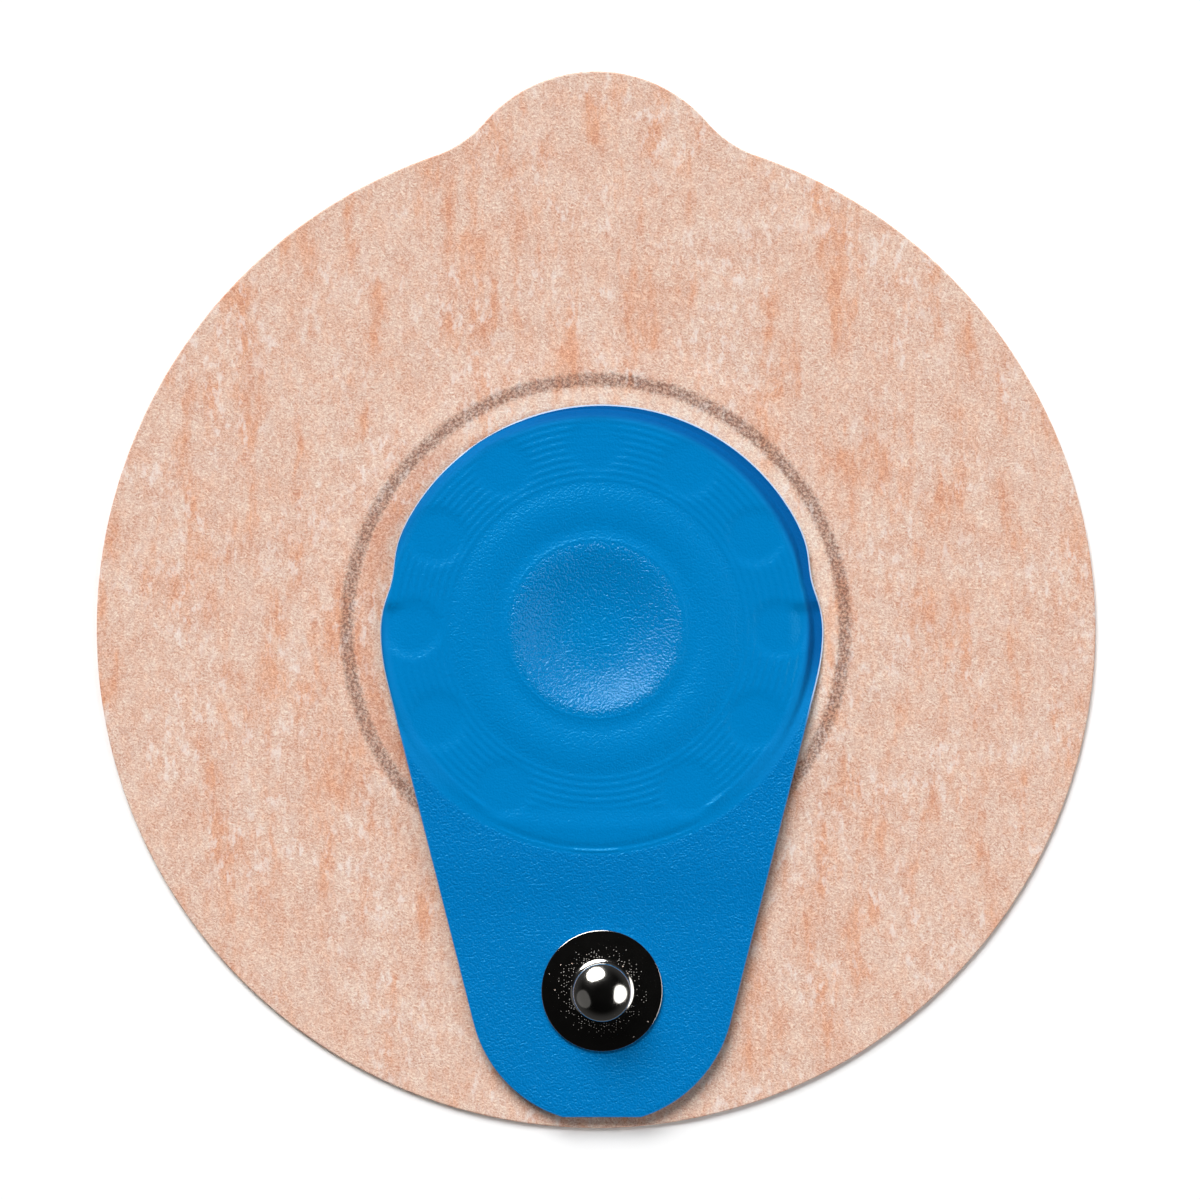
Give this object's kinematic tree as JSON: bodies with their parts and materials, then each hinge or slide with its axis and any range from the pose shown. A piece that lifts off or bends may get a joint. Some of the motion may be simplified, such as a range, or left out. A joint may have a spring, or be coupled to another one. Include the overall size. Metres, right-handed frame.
{
  "type": "ecg electrode",
  "caption": "Round adhesive monitoring electrode with a pull tab, an embossed blue film over a gel sponge, and an offset snap stud on a free flap.",
  "frame": {"origin": "centre of the round pad on the skin face, which is also the middle of the gel sponge's lower face", "axes": "+Z away from the skin, towards the stud's head; +Y along the pad from the stud to the pull tab; +X to the right when the stud side is seen with the tab up"},
  "size_m": [0.068, 0.0719, 0.005],
  "materials": {
    "nonwoven": "matte skin-tone nonwoven",
    "skin_foil": "satin foil",
    "moulded_ring": "moulded",
    "gel_sponge": "moist open foam",
    "sensor_silver": "silver and silver-chloride coat",
    "conductor_strip": "silver-filled film strip",
    "blue_film": "satin embossed film",
    "flap_liner": "thin satin film",
    "nickel_plate": "bright nickel plate",
    "rivet_nickel": "plain nickel plate"
  },
  "bodies": {
    "root": {"backing": "nonwoven", "lower_foil": "skin_foil", "support_ring": "moulded_ring", "gel_sponge": "gel_sponge", "sensor": "sensor_silver", "conductor": "conductor_strip", "film": "blue_film", "flap_liner": "flap_liner", "stud": "nickel_plate", "rivet": "rivet_nickel"}
  },
  "joints": []
}
